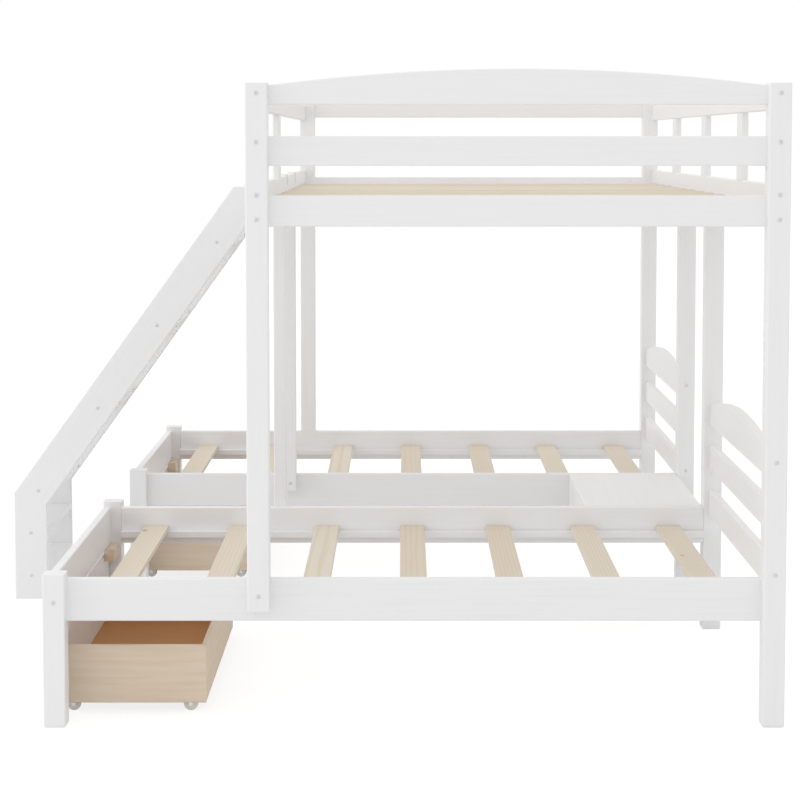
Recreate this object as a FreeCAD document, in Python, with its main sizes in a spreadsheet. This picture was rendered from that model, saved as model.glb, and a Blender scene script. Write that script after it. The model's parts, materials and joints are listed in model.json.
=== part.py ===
import FreeCAD, Part

import os
import re

import Sketcher

# Triple bunk bed: two single beds side by side with an aisle between them, one wide upper bunk across both,
# a slanted ladder at the foot end and a wheeled drawer under the foot of each single bed.
# Millimetres. X runs from the foot end to the head end, Y from the front bed to the rear bed, Z up.
# The origin is on the floor, at the middle of the whole footprint.

# Driving dimensions: alias, value, what it is
DRIVING = [
    ("post_width", "60", "square posts and legs"),
    ("edge_radius", "4", "rounding of the painted posts and boards"),
    ("edge_bevel", "1.5", "bevel of the plain slats and drawer boards"),
    ("bed_length", "2020", "single bed over its posts"),
    ("bed_width", "1117", "single bed over its posts"),
    ("aisle_width", "538", "floor between the two single beds"),
    ("deck_width", "1463", "upper bunk over its posts"),
    ("ladder_reach", "376", "ladder foot beyond the foot end"),
    ("leg_top", "421", "height of the foot legs"),
    ("foot_bevel", "3", "bevel under each post"),
    ("rail_bottom", "286", "underside of the bed rails"),
    ("rail_height", "118", "bed rails"),
    ("rail_thick", "24", "bed rails"),
    ("ledger_width", "20", "strips that carry the slats"),
    ("ledger_height", "22", "strips that carry the slats"),
    ("ledger_lift", "21", "strip above the underside of its bed rail"),
    ("slat_thick", "16", "slats"),
    ("slat_width", "78", "slats"),
    ("slat_gap", "1", "slat end to rail"),
    ("bed_slat_margin", "77", "single bed slats from the posts"),
    ("bed_slat_count", "7", "slats in each single bed"),
    ("deck_slat_margin", "99", "upper bunk slats from the posts"),
    ("deck_slat_count", "13", "slats in the upper bunk"),
    ("corner_foot", "320", "lower end of the lapped corner posts"),
    ("mid_width", "40", "slim posts on the aisle"),
    ("mid_foot", "349", "lower end of the slim posts"),
    ("board_thick", "22", "guard boards, headboards and ladder"),
    ("headboard_low", "374", "underside of the lowest headboard board"),
    ("headboard_low_height", "88", "lowest headboard board"),
    ("headboard_mid", "529", "underside of the middle headboard board"),
    ("headboard_mid_height", "81", "middle headboard board"),
    ("headboard_top", "674", "underside of the arched headboard board"),
    ("headboard_end_height", "66", "arched headboard board at its ends"),
    ("headboard_crown", "119", "arched headboard board at its middle"),
    ("headboard_flat", "8", "level end of the headboard arch"),
    ("headboard_blend", "60", "hollow curve of the headboard arch"),
    ("deck_bottom", "1366", "underside of the upper bunk rails"),
    ("guard_rise", "386", "top of the posts above the underside of the upper bunk"),
    ("deck_rail_height", "84", "front and rear rails of the upper bunk"),
    ("deck_side_height", "113", "side rails of the upper bunk"),
    ("deck_slat_lift", "61", "top of the upper slats above the underside of the bunk"),
    ("beam_width", "40", "centre beam under the upper slats"),
    ("guard_recess", "28", "guard boards behind the face of the posts"),
    ("guard_lift", "164", "guard boards above the underside of the upper bunk"),
    ("guard_height", "80", "guard boards"),
    ("arch_drop", "58", "underside of the arched rails below the top of the posts"),
    ("arch_end_height", "54", "arched rails at their ends"),
    ("arch_crown", "97", "arched rails at their middle"),
    ("arch_flat", "8", "level end of the arched rails"),
    ("arch_blend", "60", "hollow curve of the arched rails"),
    ("top_rail_drop", "70", "underside of the side top rails below the top of the posts"),
    ("top_rail_height", "60", "side top rails"),
    ("baluster_width", "80", "uprights of the side guards"),
    ("baluster_inset", "626", "outer uprights of the right side guard from the posts"),
    ("left_baluster_shift", "260", "upright of the left side guard, forward of the middle"),
    ("shelf_length", "384", "shelf that bridges the aisle"),
    ("shelf_thick", "18", "shelf boards"),
    ("shelf_end_height", "100", "shelf end boards"),
    ("ladder_shift", "346.5", "ladder, rearward of the middle"),
    ("ladder_width", "513", "ladder over its stringers"),
    ("stringer_width", "113", "upright part of a stringer"),
    ("knee_height", "333", "inner corner between the upright and the slanted part"),
    ("slant_board", "116", "slanted part of a stringer, square across"),
    ("ladder_lift", "75", "level cut of the stringers above the underside of the upper bunk"),
    ("ladder_gap", "20", "upper end of the stringers to the side rail"),
    ("tread_depth", "112", "ladder treads"),
    ("slant_tread_top", "393", "top of the lowest tread of the slanted part"),
    ("top_step", "181", "highest tread below the level cut of the stringers"),
    ("foot_rise", "149.5", "between treads of the upright part"),
    ("hook_thick", "4", "steel hooks of the ladder"),
    ("hook_foot", "118", "hook foot along the top of the stringer"),
    ("hook_lip", "34", "hook lip inside the side rail"),
    ("drawer_inset", "140", "drawer wall inside the face of the bed"),
    ("drawer_depth", "411", "drawer box behind its front"),
    ("drawer_bottom", "28", "underside of the drawer walls"),
    ("drawer_wall_height", "164", "drawer walls"),
    ("drawer_wall", "12", "drawer walls"),
    ("drawer_base_lift", "18", "drawer base above the underside of its walls"),
    ("drawer_base", "6", "drawer base"),
    ("front_thick", "18", "drawer front"),
    ("front_bottom", "24", "underside of the drawer front"),
    ("front_height", "248", "drawer front"),
    ("front_gap", "3", "drawer front to leg"),
    ("notch_half", "62", "hand notch in the drawer front, half its width"),
    ("notch_depth", "32", "hand notch in the drawer front"),
    ("notch_corner", "24", "hand notch in the drawer front, lower corners"),
    ("stop_gap", "0.3", "drawer front to its stops"),
    ("stop_width", "32", "drawer stops"),
    ("stop_length", "100", "drawer stops"),
    ("stop_height", "38", "drawer stops"),
    ("wheel_radius", "20", "caster wheels"),
    ("wheel_width", "16", "caster wheels"),
    ("wheel_bevel", "3", "bevel of the caster wheels"),
    ("axle_radius", "3", "caster axles"),
    ("axle_clearance", "0.08", "axle in its wheel, on the radius"),
    ("bracket_wall", "2", "steel of the caster brackets"),
    ("bracket_gap", "0.6", "wheel to bracket"),
    ("bracket_length", "26", "caster brackets"),
    ("bracket_drop", "8", "bracket below the axle"),
    ("cap_radius", "6", "caps of the caster axles"),
    ("caster_front", "37", "front casters behind the drawer front"),
    ("caster_rear", "45", "rear casters from the back of the drawer"),
    ("caster_inset", "27", "caster wheel inside the face of the drawer wall"),
    ("bolt_radius", "6", "bolt heads"),
    ("bolt_head", "2.5", "bolt heads"),
    ("top_bolt_drop", "27", "bolt of a side top rail below the top of its post"),
    ("guard_bolt_lift", "64", "bolt of a guard board above the board's underside"),
    ("side_bolt_high", "86", "upper bolt of a side rail above the underside of the upper bunk"),
    ("side_bolt_low", "20", "lower bolt of a side rail above the underside of the upper bunk"),
    ("arch_bolt_lift", "54", "bolt of an arched headboard board above its underside"),
    ("low_bolt_lift", "47", "bolt of the lowest headboard board above its underside"),
    ("floor", "0", "level that everything stands on"),
]

# Ladder treads: all of them, and those of the upright part
TREAD_COUNT = 6
UPRIGHT_TREADS = 2

# Places worked out from the driving dimensions: alias, formula, what it is
DERIVED = [
    ("head_face", "(bed_length + ladder_reach) / 2", "outer face of the head posts"),
    ("head_inner", "head_face - post_width", "inner face of the head posts"),
    ("foot_face", "head_face - bed_length", "outer face of the foot legs"),
    ("foot_inner", "foot_face + post_width", "inner face of the foot legs"),
    ("deck_face", "head_face - deck_width", "outer face of the corner posts"),
    ("deck_inner", "deck_face + post_width", "inner face of the corner posts"),
    ("post_top", "deck_bottom + guard_rise", "top of the tall posts"),
    ("outer", "bed_width + aisle_width / 2", "outer face of the outer posts, from the middle"),
    ("outer_inner", "outer - post_width", "inner face of the outer posts, from the middle"),
    ("aisle", "aisle_width / 2", "aisle face of the inner posts, from the middle"),
    ("aisle_inner", "aisle + post_width", "bed face of the inner posts, from the middle"),
    ("aisle_rail", "aisle_inner - rail_thick", "aisle face of the inner bed rails, from the middle"),
    ("rail_top", "rail_bottom + rail_height", "top of the bed rails"),
    ("ledger_bottom", "rail_bottom + ledger_lift", "underside of the slat strips"),
    ("bed_slat_bottom", "ledger_bottom + ledger_height", "underside of the single bed slats"),
    ("bed_slat_pitch", "(head_inner - foot_inner - 2 * bed_slat_margin - slat_width) / (bed_slat_count - 1)",
     "single bed slats"),
    ("headboard_face", "head_face - (post_width + board_thick) / 2", "bed side of the headboards"),
    ("headboard_half", "(outer_inner - aisle_inner) / 2", "headboard, half its length"),
    ("headboard_middle", "(outer_inner + aisle_inner) / 2", "middle of a single bed"),
    ("deck_half", "(head_inner - deck_inner) / 2", "arched rail, half its length"),
    ("deck_middle", "(head_inner + deck_inner) / 2", "middle of the upper bunk"),
    ("guard_outer", "outer - guard_recess", "outer face of the guard boards, from the middle"),
    ("guard_inner", "guard_outer - board_thick", "inner face of the guard boards, from the middle"),
    ("side_right", "head_face - board_thick", "inner face of the right side rail"),
    ("side_left", "deck_face + board_thick", "inner face of the left side rail"),
    ("side_top", "deck_bottom + deck_side_height", "top of the side rails"),
    ("guard_bottom", "deck_bottom + guard_lift", "underside of the guard boards"),
    ("arch_bottom", "post_top - arch_drop", "underside of the arched rails"),
    ("top_rail_bottom", "post_top - top_rail_drop", "underside of the side top rails"),
    ("baluster_pitch", "outer_inner - baluster_inset", "uprights of the right side guard"),
    ("deck_slat_bottom", "deck_bottom + deck_slat_lift - slat_thick", "underside of the upper slats"),
    ("deck_slat_pitch", "(2 * (outer_inner - deck_slat_margin) - slat_width) / (deck_slat_count - 1)",
     "upper bunk slats"),
    ("ladder_face", "foot_face - ladder_reach", "foot side of the stringers"),
    ("ladder_back", "ladder_face + stringer_width", "bed side of the upright part"),
    ("ladder_top", "deck_bottom + ladder_lift", "level cut at the top of the stringers"),
    ("tip_back", "deck_face - ladder_gap", "upper end of the stringers, bed side"),
    ("ladder_slope", "(ladder_top - knee_height) / (tip_back - ladder_back)", "rise over run"),
    ("slant_drop", "slant_board * sqrt(1 + ladder_slope ^ 2)", "upright measure across the slanted part"),
    ("tip_face", "tip_back - slant_drop / ladder_slope", "upper end of the stringers, foot side"),
    ("slant_rise", "(ladder_top - top_step - slant_tread_top) / %d" % (TREAD_COUNT - UPRIGHT_TREADS - 1),
     "between treads of the slanted part"),
    ("heel_height", "knee_height + slant_drop - stringer_width * ladder_slope", "outer corner of the knee"),
    ("hook_rise", "side_top + hook_thick", "top of the hooks"),
    ("hook_floor", "ladder_top + hook_thick", "top of the hook feet"),
    ("hook_outer", "deck_face - hook_thick", "outer face of the hooks"),
    ("hook_heel", "hook_outer - hook_foot", "end of the hook feet"),
    ("hook_inner", "side_left + hook_thick", "inner face of the hook lips"),
    ("hook_tip", "side_top - hook_lip", "lower end of the hook lips"),
    ("front_back", "foot_face + front_thick", "inner face of the drawer fronts"),
    ("front_top", "front_bottom + front_height", "top of the drawer fronts"),
    ("drawer_end", "front_back + drawer_depth", "back of the drawers"),
    ("drawer_outer", "outer - drawer_inset", "outer drawer wall, from the middle"),
    ("drawer_inner", "aisle + drawer_inset", "inner drawer wall, from the middle"),
    ("base_bottom", "drawer_bottom + drawer_base_lift", "underside of the drawer base"),
    ("bracket_half", "wheel_width / 2 + bracket_gap + bracket_wall", "caster bracket, half its width"),
    ("bracket_inside", "wheel_width / 2 + bracket_gap", "wheel side of a cheek, from the wheel's middle"),
    ("bracket_left", "-bracket_half", "caster bracket, other edge"),
    ("bracket_left_in", "-bracket_inside", "wheel side of a cheek on the other side"),
    ("bracket_low", "-bracket_drop", "lower end of the bracket, above the axle"),
    ("bracket_top", "base_bottom - wheel_radius", "top of the bracket, above the axle"),
    ("bracket_roof", "bracket_top - bracket_wall", "underside of the bracket's plate, above the axle"),
]

# Lengths closer than this count as equal
SAME = 0.01

doc = FreeCAD.newDocument("triple_bunk_bed")
sheet = doc.addObject("Spreadsheet::Sheet", "Sizes")


def fill_sheet():
    rows = [(alias, value, note) for alias, value, note in DRIVING]
    rows += [(alias, "=" + formula, note) for alias, formula, note in DERIVED]
    for row, (alias, content, note) in enumerate(rows, start=1):
        sheet.set("A%d" % row, note)
        sheet.set("B%d" % row, content)
        sheet.setAlias("B%d" % row, alias)
    doc.recompute()


def value(alias):
    return float(sheet.get(alias))


def bind(item, prop, formula):
    item.setExpression(prop, re.sub(r"[a-z]\w*", lambda word: "Sizes." + word.group(), formula))


def place(item, x, y, z):
    for axis, formula in (("x", x), ("y", y), ("z", z)):
        bind(item, "Placement.Base." + axis, formula)


# Plain boards

def box(name, x, y, z):
    """A rectangular block: each of x, y and z is a pair of formulas, start and size."""
    item = doc.addObject("Part::Box", name)
    for prop, pair in (("Length", x), ("Width", y), ("Height", z)):
        bind(item, prop, pair[1])
    place(item, x[0], y[0], z[0])
    return item


def long_edges(shape, axis):
    """Numbers of the full-length straight edges along an axis."""
    span = (shape.BoundBox.XLength, shape.BoundBox.YLength, shape.BoundBox.ZLength)["XYZ".index(axis)]
    found = []
    for number, edge in enumerate(shape.Edges, start=1):
        size = edge.BoundBox
        extent = (size.XLength, size.YLength, size.ZLength)["XYZ".index(axis)]
        if edge.Curve.TypeId == "Part::GeomLine" and abs(extent - span) < SAME and edge.Length - extent < SAME:
            found.append(number)
    return found


def dress(kind, name, base, numbers, amount):
    """A fillet or bevel of the same size along the numbered edges."""
    item = doc.addObject(kind, name)
    item.Base = base
    item.Edges = [(number, amount, amount) for number in numbers]
    return item


def rounded_board(name, x, y, z, axis):
    base = box(name + "_blank", x, y, z)
    doc.recompute()
    return dress("Part::Fillet", name, base, long_edges(base.Shape, axis), value("edge_radius"))


def bevelled_board(name, x, y, z, axis):
    base = box(name + "_blank", x, y, z)
    doc.recompute()
    return dress("Part::Chamfer", name, base, long_edges(base.Shape, axis), value("edge_bevel"))


def bottom_edges(shape):
    low = shape.BoundBox.ZMin
    return [number for number, edge in enumerate(shape.Edges, start=1) if edge.BoundBox.ZMax < low + SAME]


def group(name, items):
    whole = doc.addObject("Part::Compound", name)
    whole.Links = items
    return whole


def across(side, near, far):
    """Start and size along Y of a piece between two distances from the middle, on one side of it."""
    if side == "front":
        return ("-(%s)" % far, "%s - (%s)" % (far, near))
    return (near, "%s - (%s)" % (far, near))


def between(low, high):
    return (low, "%s - (%s)" % (high, low))


# Sketched pieces

def origin_plane(body, role):
    return [item for item in body.Origin.OriginFeatures if item.Role == role][0]


def new_sketch(name, role):
    body = doc.addObject("PartDesign::Body", name)
    sketch = body.newObject("Sketcher::SketchObject", name + "_outline")
    sketch.AttachmentSupport = (origin_plane(body, role), "")
    sketch.MapMode = "FlatFace"
    return body, sketch


def pin_point(sketch, item, end, u, v):
    """Ties an end point of a line to two named sizes."""
    for kind, alias in (("DistanceX", u), ("DistanceY", v)):
        number = sketch.addConstraint(Sketcher.Constraint(kind, -1, 1, item, end, value(alias)))
        bind(sketch, "Constraints[%d]" % number, alias)


def polygon(sketch, corners):
    """A closed outline whose corners are pairs of named sizes."""
    spots = [FreeCAD.Vector(value(u), value(v), 0) for u, v in corners]
    for index, spot in enumerate(spots):
        sketch.addGeometry(Part.LineSegment(spot, spots[(index + 1) % len(spots)]), False)
    for index in range(len(spots)):
        sketch.addConstraint(Sketcher.Constraint("Coincident", index, 2, (index + 1) % len(spots), 1))
    for index, (u, v) in enumerate(corners):
        pin_point(sketch, index, 1, u, v)


def pad(body, sketch, length, reverse):
    solid = body.newObject("PartDesign::Pad", body.Name + "_pad")
    solid.Profile = sketch
    bind(solid, "Length", length)
    solid.Reversed = reverse
    body.Tip = solid
    doc.recompute()
    return solid


def round_over(body, base, names):
    """Rounds the named edges of a sketched piece."""
    soft = body.newObject("PartDesign::Fillet", body.Name + "_rounded")
    soft.Base = (base, names)
    bind(soft, "Radius", "edge_radius")
    body.Tip = soft
    doc.recompute()


def outline_edges(shape, across_axis, skip):
    """Names of the edges round the two broad faces, without those that a test skips."""
    names = []
    for number, edge in enumerate(shape.Edges, start=1):
        size = edge.BoundBox
        thickness = (size.XLength, size.YLength, size.ZLength)["XYZ".index(across_axis)]
        if thickness < SAME and not skip(edge):
            names.append("Edge%d" % number)
    return names


def is_upright(edge):
    size = edge.BoundBox
    return max(size.XLength, size.YLength) < SAME


def arch(name, role, reverse, thick_axis, half, end_height, crown, flat, blend):
    """A board with a straight underside and a crowned top that runs out level at both ends."""
    body, sketch = new_sketch(name, role)
    end_x = value(half)
    end_z = value(end_height)
    top_z = value(crown)
    turn = end_x - value(flat)
    hollow = value(blend)
    rise = top_z - end_z
    crown_radius = (rise * rise + turn * turn) / (2 * rise) - hollow
    crown_centre = FreeCAD.Vector(0, top_z - crown_radius, 0)
    up = FreeCAD.Vector(0, 0, 1)

    def spot(u, v):
        return FreeCAD.Vector(u, v, 0)

    def curve(centre, radius, start, finish):
        circle = Part.Circle(centre, up, radius)
        return Part.ArcOfCircle(circle, circle.parameter(start), circle.parameter(finish))

    right_centre = spot(turn, end_z + hollow)
    left_centre = spot(-turn, end_z + hollow)
    right_meet = crown_centre + (right_centre - crown_centre) * (crown_radius / (crown_radius + hollow))
    left_meet = spot(-right_meet.x, right_meet.y)
    pieces = [
        Part.LineSegment(spot(-end_x, 0), spot(end_x, 0)),
        Part.LineSegment(spot(end_x, 0), spot(end_x, end_z)),
        Part.LineSegment(spot(end_x, end_z), spot(turn, end_z)),
        curve(right_centre, hollow, right_meet, spot(turn, end_z)),
        curve(crown_centre, crown_radius, right_meet, left_meet),
        curve(left_centre, hollow, spot(-turn, end_z), left_meet),
        Part.LineSegment(spot(-turn, end_z), spot(-end_x, end_z)),
        Part.LineSegment(spot(-end_x, end_z), spot(-end_x, 0)),
    ]
    sketch.addGeometry(pieces, False)
    top_point = sketch.addGeometry(Part.Point(spot(0, top_z)), True)
    base, right, right_flat, right_hollow, crest, left_hollow, left_flat, left = range(len(pieces))
    tie = Sketcher.Constraint
    sketch.addConstraint([
        tie("Coincident", base, 2, right, 1),
        tie("Coincident", right, 2, right_flat, 1),
        tie("Tangent", right_flat, 2, right_hollow, 2),
        tie("Tangent", right_hollow, 1, crest, 1),
        tie("Tangent", crest, 2, left_hollow, 2),
        tie("Tangent", left_hollow, 1, left_flat, 1),
        tie("Coincident", left_flat, 2, left, 1),
        tie("Coincident", left, 2, base, 1),
        tie("Horizontal", base),
        tie("Vertical", right),
        tie("Vertical", left),
        tie("Horizontal", right_flat),
        tie("Horizontal", left_flat),
        tie("PointOnObject", crest, 3, -2),
        tie("Symmetric", base, 1, base, 2, -1, 1),
        tie("Equal", right_flat, left_flat),
        tie("Equal", right_hollow, left_hollow),
        tie("PointOnObject", top_point, 1, -2),
        tie("PointOnObject", top_point, 1, crest),
    ])
    driven = [
        (tie("DistanceX", -1, 1, base, 2, end_x), half),
        (tie("DistanceY", right, 1, right, 2, end_z), end_height),
        (tie("DistanceX", right_flat, 2, right_flat, 1, end_x - turn), flat),
        (tie("Radius", right_hollow, hollow), blend),
        (tie("DistanceY", -1, 1, top_point, 1, top_z), crown),
    ]
    for constraint, alias in driven:
        bind(sketch, "Constraints[%d]" % sketch.addConstraint(constraint), alias)
    solid = pad(body, sketch, "board_thick", reverse)
    round_over(body, solid, outline_edges(solid.Shape, thick_axis, is_upright))
    return body


SIDES = ("front", "rear")
nodes = []


def keep(item):
    nodes.append(item)


# Posts and legs

def post(name, x, y, z):
    """A square post with rounded corners and a bevelled foot."""
    rounded = rounded_board(name + "_rounded", x, y, z, "Z")
    doc.recompute()
    return dress("Part::Chamfer", name, rounded, bottom_edges(rounded.Shape), value("foot_bevel"))


def make_posts():
    head = between("head_inner", "head_face")
    foot = between("foot_face", "foot_inner")
    for side in SIDES:
        outside = across(side, "outer_inner", "outer")
        inside = across(side, "aisle", "aisle_inner")
        keep(post(side + "_outer_head_post", head, outside, ("0", "post_top")))
        keep(post(side + "_inner_head_post", head, inside, ("0", "deck_bottom")))
        keep(post(side + "_outer_foot_leg", foot, outside, ("0", "leg_top")))
        keep(post(side + "_inner_foot_leg", foot, inside, ("0", "leg_top")))


def make_corner_posts():
    """Posts of the upper bunk that stand on the outer bed rails and lap down over their faces."""
    x = between("deck_face", "deck_inner")
    for side in SIDES:
        name = side + "_corner_post"
        whole = rounded_board(name + "_whole", x, across(side, "outer_inner", "outer"),
                              between("corner_foot", "post_top"), "Z")
        lap = box(name + "_lap", x, across(side, "outer_inner", "outer_inner + rail_thick"),
                  between("corner_foot", "rail_top"))
        lapped = doc.addObject("Part::Cut", name)
        lapped.Base = whole
        lapped.Tool = lap
        keep(lapped)


def make_mid_posts():
    for side in SIDES:
        keep(rounded_board(side + "_mid_post", ("deck_face", "mid_width"),
                           across(side, "aisle_rail - mid_width", "aisle_rail"),
                           between("mid_foot", "deck_bottom"), "Z"))


# Single beds

def make_bed_rails():
    x = between("foot_inner", "head_inner")
    z = ("rail_bottom", "rail_height")
    for side in SIDES:
        keep(rounded_board(side + "_outer_bed_rail", x,
                           across(side, "outer_inner", "outer_inner + rail_thick"), z, "X"))
        keep(rounded_board(side + "_inner_bed_rail", x, across(side, "aisle_rail", "aisle_inner"), z, "X"))
        keep(rounded_board(side + "_foot_rail", ("foot_face", "rail_thick"),
                           across(side, "aisle_inner", "outer_inner"), z, "Y"))


def make_headboards():
    x = ("headboard_face", "board_thick")
    for side in SIDES:
        y = across(side, "aisle_inner", "outer_inner")
        low = rounded_board(side + "_headboard_low", x, y, ("headboard_low", "headboard_low_height"), "Y")
        middle = rounded_board(side + "_headboard_middle", x, y, ("headboard_mid", "headboard_mid_height"), "Y")
        keep(group(side + "_headboard_boards", [low, middle]))
        crest = arch(side + "_headboard_arch", "YZ_Plane", False, "X", "headboard_half",
                     "headboard_end_height", "headboard_crown", "headboard_flat", "headboard_blend")
        middle_y = {"front": "-headboard_middle", "rear": "headboard_middle"}[side]
        place(crest, "headboard_face", middle_y, "headboard_top")
        keep(crest)


def make_bed_slats():
    ledgers = []
    count = int(value("bed_slat_count"))
    x = between("foot_inner", "head_inner")
    ledger_z = ("ledger_bottom", "ledger_height")
    for side in SIDES:
        for where, near, far in (("outer", "outer_inner - ledger_width", "outer_inner"),
                                 ("inner", "aisle_inner", "aisle_inner + ledger_width")):
            ledgers.append(bevelled_board("%s_%s_ledger" % (side, where), x, across(side, near, far),
                                          ledger_z, "X"))
        y = across(side, "aisle_inner + slat_gap", "outer_inner - slat_gap")
        slats = []
        for index in range(count):
            step = index - (count - 1) / 2
            start = "(foot_inner + head_inner - slat_width) / 2 + bed_slat_pitch * %.1f" % step
            slats.append(bevelled_board("%s_slat_%d" % (side, index + 1), (start, "slat_width"), y,
                                        ("bed_slat_bottom", "slat_thick"), "Y"))
        keep(group(side + "_bed_slats", slats))
    keep(group("bed_ledgers", ledgers))


def make_shelf():
    """Shelf that bridges the aisle at the head end, let in between the two inner bed rails."""
    y = ("-aisle_rail", "2 * aisle_rail")
    top = rounded_board("shelf_top", ("head_inner - shelf_length", "shelf_length"), y,
                        ("rail_top - shelf_thick", "shelf_thick"), "Y")
    end_z = ("rail_top - shelf_thick - shelf_end_height", "shelf_end_height")
    ends = [bevelled_board("shelf_end_%d" % number, (start, "shelf_thick"), y, end_z, "Y")
            for number, start in ((1, "head_inner - shelf_length"), (2, "head_inner - shelf_thick"))]
    keep(group("bridge_shelf", [top] + ends))


# Upper bunk

def make_deck_frame():
    x = between("deck_inner", "head_inner")
    y = ("-outer_inner", "2 * outer_inner")
    for side in SIDES:
        guard_y = across(side, "guard_inner", "guard_outer")
        keep(rounded_board(side + "_deck_rail", x, guard_y, ("deck_bottom", "deck_rail_height"), "X"))
        keep(rounded_board(side + "_guard_board", x, guard_y, ("guard_bottom", "guard_height"), "X"))
        crest = arch(side + "_arched_rail", "XZ_Plane", True, "Y", "deck_half",
                     "arch_end_height", "arch_crown", "arch_flat", "arch_blend")
        place(crest, "deck_middle", {"front": "-guard_outer", "rear": "guard_inner"}[side], "arch_bottom")
        keep(crest)
    top_rails = []
    top_z = ("top_rail_bottom", "top_rail_height")
    for hand, start in (("left", "deck_face"), ("right", "side_right")):
        board_x = (start, "board_thick")
        keep(rounded_board(hand + "_deck_rail", board_x, y, ("deck_bottom", "deck_side_height"), "Y"))
        top_rails.append(rounded_board(hand + "_top_rail", board_x, y, top_z, "Y"))
    keep(group("side_top_rails", top_rails))


def make_balusters():
    z = between("side_top", "top_rail_bottom")
    spots = [("right_baluster_%d" % (step + 2), "side_right", "baluster_pitch * %d" % step)
             for step in (-1, 0, 1)]
    spots.append(("left_baluster", "deck_face", "-left_baluster_shift"))
    balusters = []
    for name, start, middle in spots:
        y = (middle + " - baluster_width / 2", "baluster_width")
        balusters.append(rounded_board(name, (start, "board_thick"), y, z, "Z"))
    keep(group("side_balusters", balusters))


def make_deck():
    count = int(value("deck_slat_count"))
    y = ("-outer_inner", "2 * outer_inner")
    ledger_z = ("deck_slat_bottom - ledger_height", "ledger_height")
    bearers = [
        bevelled_board("right_deck_ledger", ("side_right - ledger_width", "ledger_width"), y, ledger_z, "Y"),
        bevelled_board("left_deck_ledger", ("side_left", "ledger_width"), y, ledger_z, "Y"),
        bevelled_board("centre_beam", ("deck_middle - beam_width / 2", "beam_width"),
                       ("-guard_inner", "2 * guard_inner"), between("deck_bottom", "deck_slat_bottom"), "Y"),
    ]
    keep(group("deck_bearers", bearers))
    x = between("side_left + slat_gap", "side_right - slat_gap")
    slats = []
    for index in range(count):
        start = "deck_slat_pitch * %.1f - slat_width / 2" % (index - (count - 1) / 2)
        slats.append(bevelled_board("deck_slat_%d" % (index + 1), x, (start, "slat_width"),
                                    ("deck_slat_bottom", "slat_thick"), "X"))
    keep(group("deck_slats", slats))


# Ladder

LADDER_ENDS = (
    ("near", "ladder_shift - ladder_width / 2"),
    ("far", "ladder_shift + ladder_width / 2 - board_thick"),
)


def make_stringers():
    corners = [
        ("ladder_face", "floor"),
        ("ladder_back", "floor"),
        ("ladder_back", "knee_height"),
        ("tip_back", "ladder_top"),
        ("tip_face", "ladder_top"),
        ("ladder_face", "heel_height"),
    ]
    for name, y in LADDER_ENDS:
        body, sketch = new_sketch("ladder_%s_stringer" % name, "XZ_Plane")
        polygon(sketch, corners)
        solid = pad(body, sketch, "board_thick", True)
        round_over(body, solid, outline_edges(solid.Shape, "Y", lambda edge: edge.BoundBox.ZMax < SAME))
        place(body, "0", y, "0")
        keep(body)


def tread_place(index):
    """Formulas for the back edge and the top of a tread, counted from the floor."""
    if index < UPRIGHT_TREADS:
        return "ladder_back", "slant_tread_top - foot_rise * %d" % (UPRIGHT_TREADS - index)
    top = "slant_tread_top + slant_rise * %d" % (index - UPRIGHT_TREADS)
    return "ladder_back + (%s - board_thick - knee_height) / ladder_slope" % top, top


def make_treads():
    y = between("ladder_shift - ladder_width / 2 + board_thick",
                "ladder_shift + ladder_width / 2 - board_thick")
    treads = []
    for index in range(TREAD_COUNT):
        back, top = tread_place(index)
        treads.append(rounded_board("tread_%d" % (index + 1), (back + " - tread_depth", "tread_depth"), y,
                                    (top + " - board_thick", "board_thick"), "Y"))
    keep(group("ladder_treads", treads))


def make_hooks():
    """Bent steel strips, screwed to the level ends of the stringers and hung over the left side rail."""
    corners = [
        ("hook_heel", "ladder_top"),
        ("deck_face", "ladder_top"),
        ("deck_face", "side_top"),
        ("side_left", "side_top"),
        ("side_left", "hook_tip"),
        ("hook_inner", "hook_tip"),
        ("hook_inner", "hook_rise"),
        ("hook_outer", "hook_rise"),
        ("hook_outer", "hook_floor"),
        ("hook_heel", "hook_floor"),
    ]
    hooks = []
    for name, y in LADDER_ENDS:
        body, sketch = new_sketch("ladder_%s_hook" % name, "XZ_Plane")
        polygon(sketch, corners)
        pad(body, sketch, "board_thick", True)
        place(body, "0", y, "0")
        hooks.append(body)
    keep(group("ladder_hooks", hooks))


# Drawers

def make_drawer_front(side):
    """White front between the legs, with a hand notch in its top edge."""
    name = side + "_drawer_front"
    blank = box(name + "_blank", ("foot_face", "front_thick"),
                across(side, "aisle_inner + front_gap", "outer_inner - front_gap"),
                ("front_bottom", "front_height"))
    middle = {"front": "-headboard_middle", "rear": "headboard_middle"}[side]
    cut = box(name + "_cut", ("foot_face - front_thick", "3 * front_thick"),
              (middle + " - notch_half", "2 * notch_half"), ("front_top - notch_depth", "2 * notch_depth"))
    doc.recompute()
    low = [number for number in long_edges(cut.Shape, "X")
           if cut.Shape.Edges[number - 1].BoundBox.ZMax < value("front_top")]
    soft_cut = dress("Part::Fillet", name + "_notch", cut, low, value("notch_corner"))
    front = doc.addObject("Part::Cut", name)
    front.Base = blank
    front.Tool = soft_cut
    keep(front)


def make_drawer_box(side):
    x = between("front_back", "drawer_end")
    z = ("drawer_bottom", "drawer_wall_height")
    outer_y = across(side, "drawer_outer - drawer_wall", "drawer_outer")
    inner_y = across(side, "drawer_inner", "drawer_inner + drawer_wall")
    inside = across(side, "drawer_inner + drawer_wall", "drawer_outer - drawer_wall")
    keep(group(side + "_drawer_box", [
        bevelled_board(side + "_drawer_outer_wall", x, outer_y, z, "X"),
        bevelled_board(side + "_drawer_inner_wall", x, inner_y, z, "X"),
        bevelled_board(side + "_drawer_back", ("drawer_end - drawer_wall", "drawer_wall"), inside, z, "Y"),
    ]))
    keep(box(side + "_drawer_base", between("front_back", "drawer_end - drawer_wall"), inside,
             ("base_bottom", "drawer_base")))


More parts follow.
